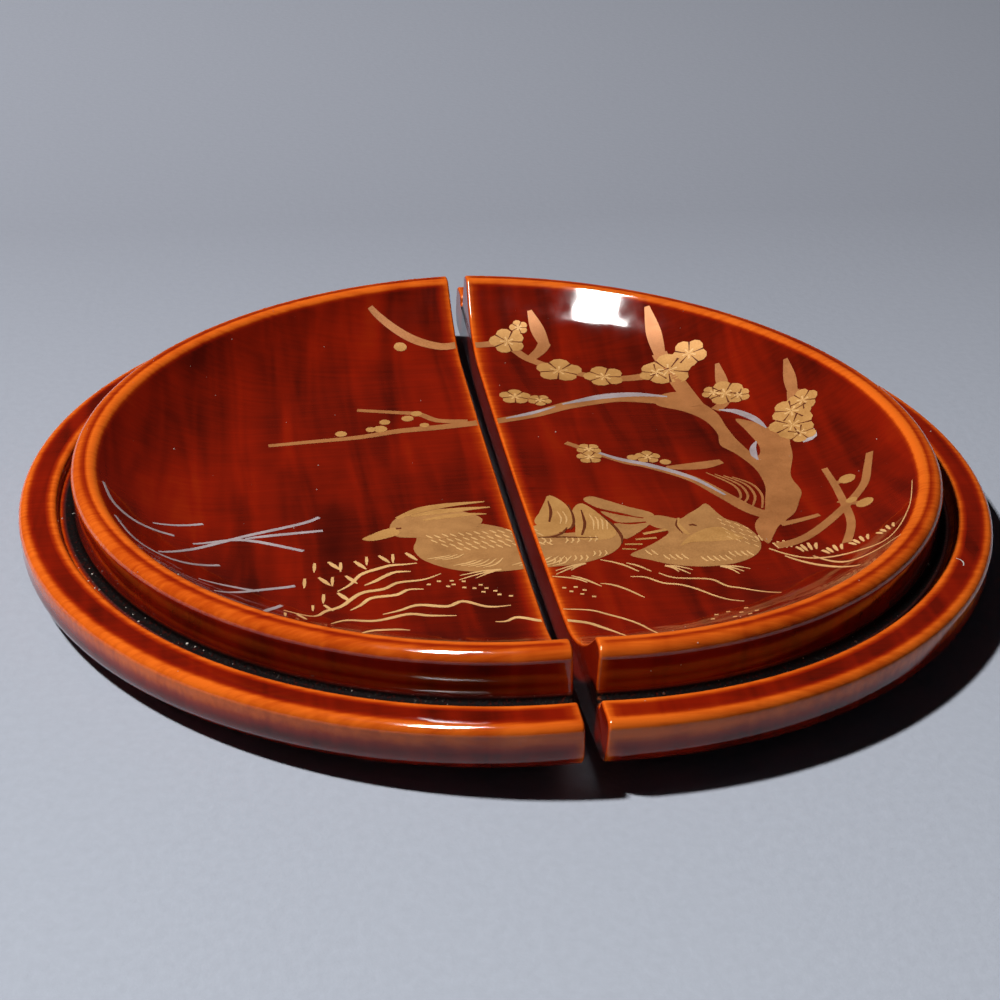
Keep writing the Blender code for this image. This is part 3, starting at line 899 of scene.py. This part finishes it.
for left, right, width in (((11.9, -13.2), (14.7, -12.4), 0.95), ((10.8, -14.4), (13.1, -14.2), 0.7),
        ((9.4, -15.4), (11.3, -15.5), 0.6), ((8.9, -16.4), (10.4, -16.6), 0.5)):
    brush("gold", TOP, (width * 0.5, width, width, width * 0.5), left, right)

# %% The resting bird
area(
    "dull_gold", LOW,
    (9.5, -17.8), (11.5, -19.1), (13.4, -20.2), (16.2, -20.9), (19.0, -20.8), (21.2, -20.1), (23.0, -18.7),
    (24.0, -16.7),
    (24.0, -14.1), (23.0, -11.8), (21.7, -10.5), (21.1, -8.9), (20.4, -6.7), (19.3, -7.7), (17.8, -9.0), (16.6, -10.0),
    (14.4, -9.0), (12.6, -9.6), (13.4, -11.6), (14.8, -12.8), (13.4, -14.6), (11.5, -16.2),
)  # fmt: skip
area("gold", MID, (15.3, -16.2), (16.1, -14.9), (17.1, -13.8), (18.8, -12.6), (20.5, -12.3), (21.6, -13.6),
    (22.5, -15.2), (20.3, -15.4), (18.6, -15.5), (16.6, -15.5))
brush("gold", MID, (0.2, 0.5, 0.4), (16.6, -9.8), (16.2, -11.2), (16.5, -12.8), (16.8, -13.7))
brush("dark_line", TOP, (0.25, 0.42, 0.25), (17.3, -11.6), (17.7, -11.5), (18.1, -11.8))
brush("dark_line", HIGH, (0.1, 0.22, 0.1), (16.3, -10.2), (15.9, -11.6), (16.2, -13.4))
for x, y, number in ((13.2, -18.7, 4), (17.1, -19.4, 5), (20.3, -18.6, 4), (11.5, -17.5, 2)):
    for step in range(number):
        brush("pale_gold", HIGH, (0.1, 0.24, 0.12), (x - 0.2 + step * 0.66, y + 0.7), (x + step * 0.66, y),
            (x + 0.3 + step * 0.66, y - 0.5))
for row in range(4):
    for step in range(5):
        x = 21.0 + row * 0.8 + 0.1 * (step % 2)
        y = -10.6 - step * 1.05 - row * 0.7
        brush("pale_gold", HIGH, (0.1, 0.26, 0.12), (x - 0.2, y + 0.3), (x + 0.15, y), (x + 0.2, y - 0.35))

# %% Feet
for heel, toes in (
    ((-2.6, -19.7), ((-5.4, -21.1), (-7.2, -21.2), (-7.0, -20.3))),
    ((4.4, -19.3), ((2.6, -20.7), (0.9, -21.5), (1.0, -20.7))),
    ((12.6, -20.4), ((13.8, -21.8), (14.9, -22.4), (15.3, -21.5))),
    ((18.4, -21.0), ((20.0, -22.8), (20.6, -22.4), (21.4, -21.9))),
):  # fmt: skip
    for toe in toes:
        middle = ((heel[0] + toe[0]) / 2.0 + 0.1, (heel[1] + toe[1]) / 2.0 + 0.25)
        brush("pale_gold", LOW, (0.3, 0.26, 0.12), heel, middle, toe)

# %% The bank: tufts, ripples and pebbles
BLADES = ((0.1, 3.0, 0.1, 0.5), (-1.5, 2.1, -0.9, 0.34), (1.2, 2.0, 1.0, 0.36))  # foot, height, lean, width
for x, y, size in (
    (-20.8, -17.7, 1.0), (-18.1, -17.9, 1.0), (-15.4, -16.8, 0.9), (-12.6, -16.7, 0.95), (-22.0, -20.9, 1.0),
    (-19.2, -20.8, 0.95),
    (-20.3, -24.4, 1.0), (-21.7, -26.3, 0.75), (-24.6, -29.5, 0.8),
):  # fmt: skip
    for foot, tall, lean, width in BLADES:
        side = (foot > 0) - (foot < 0)
        low = (x + size * (foot - 0.5 * side), y + size * 0.1 * abs(side))
        high = (x - 0.2 + size * (foot * 0.6 + lean * (-0.3 if side < 0 else 0.0)), y + size * tall)
        if side > 0:
            low, high = (x + size * 1.7, y + size * 0.3), (x + size * 0.6, y + size * 2.2)
        middle = ((low[0] + high[0]) / 2.0, (low[1] + high[1]) / 2.0)
        brush("pale_gold", LOW, (0.12, width * size, width * size * 1.1, 0.25), low, middle, high)
for x, y, size in ((26.4, -17.8, 0.7), (28.7, -19.3, 0.8), (30.9, -21.4, 0.8), (33.8, -21.7, 0.8),
        (36.7, -22.4, 0.75), (24.7, -15.9, 0.6)):
    for lean in (-1.5, -0.7, 0.3, 1.3):
        brush("pale_gold", LOW, (0.15, 0.5 * size, 0.25), (x + lean * 0.5, y),
            (x + lean * 0.8 * size, y + 1.2 * size), (x + lean * size, y + (2.6 - abs(lean) * 0.5) * size))
brush("pale_gold", LOW, (0.2, 0.38, 0.2, 0.08), (24.6, -17.7), (28.2, -21.3), (32.4, -23.6), (36.0, -25.0),
    (40.0, -19.9), (42.7, -13.4))
brush("pale_gold", LOW, (0.15, 0.35, 0.3, 0.15), (28.5, -20.8), (30.6, -25.5), (33.3, -26.9), (36.7, -27.2))
brush("pale_gold", LOW, (0.2, 0.4, 0.2), (25.8, -19.6), (28.7, -24.4), (31.1, -29.7))

# %% Ripples and pebbles
for line in (
    ((-19.7, -21.9), (-18.3, -20.6), (-17.0, -18.6), (-15.1, -17.6), (-13.8, -17.1), (-12.5, -17.1), (-11.1, -17.0)),
    ((-16.9, -21.0), (-15.8, -20.3), (-14.5, -19.2), (-13.4, -18.6), (-11.9, -18.7)),
    ((-25.4, -26.9), (-22.6, -27.9), (-21.1, -26.1), (-19.6, -25.1), (-17.4, -22.6), (-15.0, -22.0), (-13.5, -20.9),
    (-10.8, -20.6), (-8.9, -19.6)),
    ((-18.7, -26.0), (-17.6, -25.0), (-16.4, -23.7), (-13.9, -23.4), (-12.6, -22.5), (-11.0, -22.6)),
    ((-15.6, -27.2), (-13.8, -26.6), (-11.9, -25.8), (-9.1, -26.5), (-7.4, -25.7), (-5.1, -27.2), (-2.8, -27.3)),
    ((-20.9, -29.9), (-19.3, -28.5), (-16.5, -28.6), (-13.2, -27.5), (-11.0, -28.1), (-8.4, -28.5)),
    ((-18.4, -33.0), (-17.0, -31.4), (-14.7, -30.9), (-13.3, -31.1)),
    ((-4.8, -30.3), (-3.7, -30.4), (-2.5, -29.8), (-0.3, -30.9), (2.2, -31.8), (3.4, -33.0), (4.4, -34.4),
    (5.3, -36.4)),
    ((0.3, -28.8), (3.0, -29.2), (4.6, -30.2), (6.1, -31.3), (7.4, -33.1), (8.3, -36.4)),
    ((0.4, -21.9), (1.8, -22.2), (2.9, -22.6), (3.8, -23.4)),
    ((2.4, -21.9), (3.4, -22.5), (4.2, -23.3), (5.1, -24.3)),
    ((5.1, -23.7), (6.3, -24.1), (7.6, -25.2), (9.0, -27.0)),
    ((6.1, -18.6), (7.5, -19.3), (8.6, -20.2), (9.6, -21.4)),
    ((8.7, -19.5), (9.8, -20.2), (10.9, -21.5)),
    ((11.6, -21.9), (13.1, -23.1), (16.6, -23.7), (18.0, -25.3), (19.7, -26.3), (22.7, -29.0)),
    ((8.5, -22.5), (10.0, -22.7), (11.6, -24.1), (13.3, -24.6), (14.9, -25.8), (17.1, -28.2), (18.7, -29.4)),
):  # fmt: skip
    width = 0.42 if line[0][0] < 0.3 else 0.26
    brush("pale_gold", LOW, (0.14, width, width * 1.15, width, 0.14), *line)
for x, y in (
    (-10.4, -21.7), (-9.3, -21.2), (-8.5, -22.4), (-8.0, -21.3), (-7.9, -22.1), (-6.8, -21.6), (-6.9, -22.9),
    (-5.9, -23.2),
    (-5.2, -22.6), (-5.1, -24.1), (-4.7, -23.4), (-3.9, -24.1), (-3.6, -24.9), (-2.5, -25.4), (1.2, -24.4),
    (1.8, -25.2),
    (2.4, -24.3), (2.8, -25.8), (3.2, -25.0), (3.9, -26.4), (15.1, -32.2), (16.4, -31.8), (16.5, -34.1),
    (17.5, -32.8), (18.3, -31.6),
    (18.0, -34.3), (18.9, -33.5), (14.4, -33.5),
):  # fmt: skip
    brush("pale_gold", LOW, (0.3, 0.62, 0.62, 0.3), (x - 0.2, y + 0.04), (x, y + 0.02), (x + 0.2, y - 0.04))

# %% Silver reeds
for reed in (
    ((-44.4, -4.2), (-43.0, -8.2), (-40.2, -10.2), (-36.1, -10.2)), ((-38.4, -8.5), (-33.0, -6.0)),
    ((-42.9, -12.2), (-40.8, -16.8), (-38.1, -18.0), (-35.3, -17.6), (-31.4, -15.9)),
    ((-37.9, -17.1), (-34.8, -13.4), (-30.2, -9.6), (-22.6, -6.7), (-20.5, -5.4)),
    ((-34.1, -11.3), (-29.2, -9.6), (-22.6, -12.8)),
    ((-28.6, -9.4), (-25.8, -9.0), (-20.3, -8.5)), ((-33.8, -22.1), (-30.6, -21.7), (-27.6, -21.8)),
    ((-32.3, -25.6), (-27.9, -21.7), (-23.9, -20.2)), ((-27.9, -31.0), (-27.0, -28.0), (-25.5, -25.3)),
):  # fmt: skip
    brush("silver", LOW, (0.3, 0.5, 0.55, 0.45), *reed)

# %% A thread of lint on the seat of the right half
seat_run = (run_at(Vector((SEAT_INNER_RADIUS + 1.2 * MM, 0.0))) - SEAT_INNER_RADIUS - 1.2 * MM) / MM
lint = [(seat_run + r, math.radians(a)) for r, a in ((49.1, -30.4), (49.6, -30.5), (50.0, -31.1), (50.1, -31.8))]
brush("lint", LOW, (0.08, 0.13, 0.1), *((r * math.cos(a), r * math.sin(a)) for r, a in lint))
print("sheets:", len(drawing), "lines:", sum(len(s["lines"]) for s in drawing.values()), "areas:",
    sum(len(s["areas"]) for s in drawing.values()))

# %% [markdown]
# ## The painted picture: metal finishes
# Sprinkled gold and silver powder under a thin clear coat is neither a mirror nor a flat paint. A slightly
# metallic surface with a soft gloss, fine speckle and a slow change of tone along the stroke gives that look.


# %% Powder finishes
def powder_finish(name, low, high, metal, shine=0.2):
    finish, tree, shader = new_finish(name)
    place = tree.nodes.new("ShaderNodeTexCoord").outputs["Object"]
    cloud = noise(tree, place, (330, 330, 330), detail=2.0)
    speck = noise(tree, place, (5200, 5200, 5200), detail=2.0)
    tone = calc(tree, "ADD", calc(tree, "MULTIPLY", cloud, 0.65), calc(tree, "MULTIPLY", speck, 0.35))
    tree.links.new(ramp(tree, tone, [(0.32, low), (0.68, high)]), shader.inputs["Base Color"])
    tree.links.new(between(tree, speck, 0.3, 0.7, 0.36, 0.52), shader.inputs["Roughness"])
    shader.inputs["Metallic"].default_value = metal
    shader.inputs["Specular IOR Level"].default_value = shine
    powder = add_node(tree, "ShaderNodeBump", {"Height": speck, "Strength": 0.25, "Distance": 0.00004})
    tree.links.new(powder.outputs[0], shader.inputs["Normal"])
    return finish


paints = {
    "rose_gold": powder_finish("rose_gold_powder", (0.31, 0.115, 0.034), (0.45, 0.175, 0.056), 0.2),
    "dull_gold": powder_finish("dull_gold_powder", (0.34, 0.152, 0.048), (0.48, 0.228, 0.076), 0.2),
    "gold": powder_finish("gold_powder", (0.41, 0.19, 0.052), (0.57, 0.29, 0.09), 0.2),
    "pale_gold": powder_finish("pale_gold_line", (0.56, 0.31, 0.118), (0.75, 0.45, 0.185), 0.1),
    "silver": powder_finish("silver_powder", (0.29, 0.235, 0.24), (0.43, 0.36, 0.37), 0.1),
    "dark_line": powder_finish("dark_contour", (0.085, 0.018, 0.005), (0.15, 0.034, 0.01), 0.0, shine=0.1),
    "lint": powder_finish("pale_dust", (0.28, 0.25, 0.22), (0.6, 0.56, 0.5), 0.0),
}


# %% Run the trees: draw each sheet, cut it at the split and lay it on both halves
def drawn_flat(paint, level, parts):
    """Adds up the flat meshes of one sheet."""
    sheet = bmesh.new()
    values = {"Level": level * MM, "Finish": paints[paint], "Step": LINE_STEP}
    for kind, tree, is_closed in (("lines", line_tree, False), ("areas", area_tree, True)):
        if parts[kind]:
            source = flat_curves(kind, parts[kind], is_closed)
            flat = made_by(tree, source, paint + kind, values)
            sheet.from_mesh(flat.data)
            bpy.data.objects.remove(flat)
            bpy.data.objects.remove(source)
    if parts["petals"]:
        points = bpy.data.meshes.new("petal_points")
        points.from_pydata([(x * MM, y * MM, index * HAIR) for index, (x, y, _, _) in enumerate(parts["petals"])], [],
            [])
        point_values(points, "size", [size for _, _, size, _ in parts["petals"]])
        point_values(points, "spin", [turn for _, _, _, turn in parts["petals"]])
        source = linked_object("petal_points", points)
        flat = made_by(petal_tree, source, paint + "petals", values)
        sheet.from_mesh(flat.data)
        bpy.data.objects.remove(flat)
        bpy.data.objects.remove(source)
    return sheet


PAINT_EDGE = math.radians(35)
flat_sheets = {}
for (paint, level), parts in drawing.items():
    sheet = drawn_flat(paint, level, parts)
    whole = flat_sheets.setdefault(paint, bmesh.new())
    step = bpy.data.meshes.new("sheet")
    sheet.to_mesh(step)
    sheet.free()
    whole.from_mesh(step)
    bpy.data.meshes.remove(step)

pictures = {}
for side, half_turn in HALVES.items():
    for paint, whole in flat_sheets.items():
        cut = whole.copy()
        bmesh.ops.rotate(cut, verts=cut.verts, matrix=Matrix.Rotation(half_turn, 3, "Z"))
        bmesh.ops.bisect_plane(
            cut, geom=cut.verts[:] + cut.edges[:] + cut.faces[:], dist=1e-9, clear_outer=True,
            plane_co=(-CUT_EDGE_ROUND, 0.0, 0.0), plane_no=(1.0, 0.0, 0.0),
        )  # fmt: skip
        flat_mesh = bpy.data.meshes.new("flat_picture")
        cut.to_mesh(flat_mesh)
        cut.free()
        if not flat_mesh.polygons:
            continue
        source = linked_object("flat_picture", flat_mesh)
        name = side + "_" + paint + "_picture"
        values = {"Outline": outline_object, "Half turn": half_turn, "Finish": paints[paint], "Sink": PAINT_SINK}
        piece = made_by(wrap_tree, source, name, values)
        bpy.data.objects.remove(source)
        shape = bmesh.new()
        shape.from_mesh(piece.data)
        bmesh.ops.recalc_face_normals(shape, faces=shape.faces[:])
        shape.to_mesh(piece.data)
        shape.free()
        piece.data.shade_smooth()
        piece.data.set_sharp_from_angle(angle=PAINT_EDGE)
        pictures[name] = (piece, side)
        print(name, "faces:", len(piece.data.polygons))

# %% [markdown]
# ## Dust and crumbs
# Fine dust lies on the gloss, and the narrow groove has collected light crumbs. Specks are scattered by a rule: each
# takes a random length along the outline and a random angle, from a fixed seed, and is a small irregular ball half
# sunk in the surface. The same tree makes the fine dust and the crumbs, with other sizes.


# %% Tree: specks scattered over a stretch of the outline
speck_tree, given = new_geometry_tree(
    "scattered_specks",
    [
        ("Count", "NodeSocketInt", 60),
        ("Seed", "NodeSocketInt", 1),
        ("Speck radius", "NodeSocketFloat", 0.05 * MM),
        ("From", "NodeSocketFloat", 3.0 * MM),
        ("To", "NodeSocketFloat", 40.0 * MM),
        ("Half turn", "NodeSocketFloat", 0.0),
        ("Finish", "NodeSocketMaterial", None),
    ],
)


def drawn_number(low, high, stream):
    """A random number for each speck. Each stream is independent of the others."""
    seed = calc(speck_tree, "MULTIPLY_ADD", given["Seed"], 10.0, float(stream))
    node = add_node(speck_tree, "FunctionNodeRandomValue", {2: low, 3: high, 8: seed}, data_type="FLOAT")
    return node.outputs[1]


start, end = given["From"], given["To"]
squares = [calc(speck_tree, "MULTIPLY", length, length) for length in (start, end)]
length = calc(speck_tree, "SQRT", drawn_number(squares[0], squares[1], 1))
angle = drawn_number(math.radians(-86), math.radians(86), 2)
path = add_node(speck_tree, "GeometryNodeMeshToCurve", {"Mesh": given["Geometry"]}).outputs[0]
found = add_node(speck_tree, "GeometryNodeSampleCurve", {"Curves": path, "Length": length}, mode="LENGTH")
at = add_node(speck_tree, "ShaderNodeSeparateXYZ", {0: found.outputs["Position"]})
spot = add_node(
    speck_tree,
    "ShaderNodeCombineXYZ",
    {
        0: calc(speck_tree, "MULTIPLY", calc(speck_tree, "MULTIPLY", at.outputs[0],
        calc(speck_tree, "COSINE", angle)), -1.0),
        1: calc(speck_tree, "MULTIPLY", at.outputs[0], calc(speck_tree, "SINE", angle)),
        2: at.outputs[2],
    },
).outputs[0]
points = add_node(speck_tree, "GeometryNodeMeshLine", {"Count": given["Count"]}).outputs[0]
points = add_node(speck_tree, "GeometryNodeSetPosition", {"Geometry": points, "Position": spot}).outputs[0]
ball = add_node(speck_tree, "GeometryNodeMeshIcoSphere",
    {"Radius": given["Speck radius"], "Subdivisions": 1}).outputs[0]
grown = calc(speck_tree, "POWER", drawn_number(0.55, 1.25, 3), 3.0)
sides = {axis: calc(speck_tree, "MULTIPLY", grown, drawn_number(0.7, 1.4, 4 + axis)) for axis in range(3)}
turned = {axis: drawn_number(0.0, math.tau, 7 + axis) for axis in range(3)}
specks = add_node(
    speck_tree,
    "GeometryNodeInstanceOnPoints",
    {
        "Points": points,
        "Instance": ball,
        "Rotation": add_node(speck_tree, "ShaderNodeCombineXYZ", turned).outputs[0],
        "Scale": add_node(speck_tree, "ShaderNodeCombineXYZ", sides).outputs[0],
    },
).outputs[0]
close_tree(speck_tree, laid_down(speck_tree, add_node(speck_tree, "GeometryNodeRealizeInstances",
    {"Geometry": specks}).outputs[0], given["Half turn"]), given["Finish"])

# %% Dust and crumbs on both halves
groove_start = arc_span["groove_inner"][0] + 0.1 * MM
groove_end = arc_span["groove_outer"][0] + 0.1 * MM
rim_end = arc_span["rim_top"][1]
for side, half_turn in HALVES.items():
    for kind, seed, number, size, start, end in (
        ("fine_dust", 3, 70, 0.04 * MM, 3.0 * MM, rim_end),
        ("crumbs", 4, 60, 0.085 * MM, groove_start, groove_end),
    ):
        name = side + "_" + kind
        values = {
            "Count": number, "Seed": seed + round(half_turn), "Speck radius": size, "From": start, "To": end,
            "Half turn": half_turn, "Finish": paints["lint"],
        }  # fmt: skip
        piece = made_by(speck_tree, outline_object, name, values)
        pictures[name] = (piece, side)
        print(name, "faces:", len(piece.data.polygons))

# %% [markdown]
# ## Table, light and camera
# The lid lies on a pale surface whose colour holds painted light: lighter at the front and at the far back, and
# darker just behind the lid. A small bright lamp at the left gives the light and the black shadow, and a long narrow
# one above the left side gives the white highlights alone. The camera looks down from the front at the photograph's
# angle.

# %% The table
table_mesh = bpy.data.meshes.new("table")
TABLE_REACH = 1.6
table_mesh.from_pydata(
    [(x * TABLE_REACH, y * TABLE_REACH, 0.0) for x, y in ((-1, -1), (1, -1), (1, 1), (-1, 1))], [], [(0, 1, 2, 3)]
)
table = linked_object("table", table_mesh)
table_finish, tree, shader = new_finish("pale_table")
place = tree.nodes.new("ShaderNodeTexCoord").outputs["Object"]
fibre = noise(tree, place, (900, 900, 900), detail=3.0)
# Painted light on the table: its colour is lighter at the front, darker just behind the lid and lighter again at the
# far back.
away = between(tree, add_node(tree, "ShaderNodeSeparateXYZ", {0: place}).outputs[1], -0.1, 0.3)
painted_light_falloff = ramp(tree, away, [(0.0, (0.42, 0.454, 0.525)), (0.5, (0.265, 0.281, 0.329)), (1.0, (0.34, 0.36, 0.42))])
tree.links.new(mixed(tree, between(tree, fibre, 0.3, 0.7, 0.0, 0.1), painted_light_falloff, (0.2, 0.21, 0.24, 1.0)),
    shader.inputs["Base Color"])
shader.inputs["Roughness"].default_value = 0.8
shader.inputs["Specular IOR Level"].default_value = 0.0
weave = add_node(tree, "ShaderNodeBump", {"Height": fibre, "Strength": 0.15, "Distance": 0.0004})
tree.links.new(weave.outputs[0], shader.inputs["Normal"])
table_mesh.materials.append(table_finish)


# %% Lamps
def lamp(name, azimuth, elevation, distance, size, power, colour, spin=0.0):
    """A lamp of size (width, height) that shines at the lid. Azimuth runs from +Y towards +X."""
    azimuth, elevation = math.radians(azimuth), math.radians(elevation)
    towards = Vector(
        (math.sin(azimuth) * math.cos(elevation), math.cos(azimuth) * math.cos(elevation), math.sin(elevation))
    )
    data = bpy.data.lights.new(name, "AREA")
    data.shape = "RECTANGLE"
    data.size, data.size_y = size
    data.energy = power
    data.color = colour
    item = linked_object(name, data)
    item.location = towards * distance
    item.rotation_euler = (towards.to_track_quat("Z", "Y") @ Quaternion((0, 0, 1), math.radians(spin))).to_euler()
    return item


key = lamp("key_lamp", azimuth=-83, elevation=60, distance=0.7, size=(0.05, 0.05), power=6.6, colour=(1.0, 0.99, 0.975))
key.visible_glossy = False
glint = lamp(
    "glint_lamp",
    azimuth=-117,
    elevation=78.3,
    distance=0.6,
    size=(0.29, 0.068),
    power=7.5,
    colour=(1.0, 0.985, 0.96),
    spin=-47,
)
glint.visible_diffuse = False
world = bpy.data.worlds.new("dim_room")
world.use_nodes = True
world.node_tree.nodes["Background"].inputs["Color"].default_value = (0.8, 0.85, 1.0, 1.0)
world.node_tree.nodes["Background"].inputs["Strength"].default_value = 0.009
bpy.context.scene.world = world
bpy.context.scene.view_settings.view_transform = "Standard"

# %% Camera
CAMERA_PLACE = Vector((-31.39, -189.61, 103.86)) * MM
LOOKS = Vector((0.1411, 0.8726, -0.4676)).normalized()
CAMERA_RIGHT = Vector((0.9888, -0.1476, 0.023)).normalized()
camera_data = bpy.data.cameras.new("camera")
camera_data.sensor_width = 36.0
camera_data.lens = 69.23
camera_data.clip_start = 0.01
camera = linked_object("camera", camera_data)
up = CAMERA_RIGHT.cross(LOOKS).normalized()
right = LOOKS.cross(up)
camera.matrix_world = Matrix.Translation(CAMERA_PLACE) @ Matrix((right, up, -LOOKS)).transposed().to_4x4()
bpy.context.scene.camera = camera

# %% Hand the pieces to the frame
bpy.data.objects.remove(outline_object)
for side, piece in halves.items():
    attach(piece, "root")
    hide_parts(side + "_lid_half")

for piece, side in pictures.values():
    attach(piece, "root")
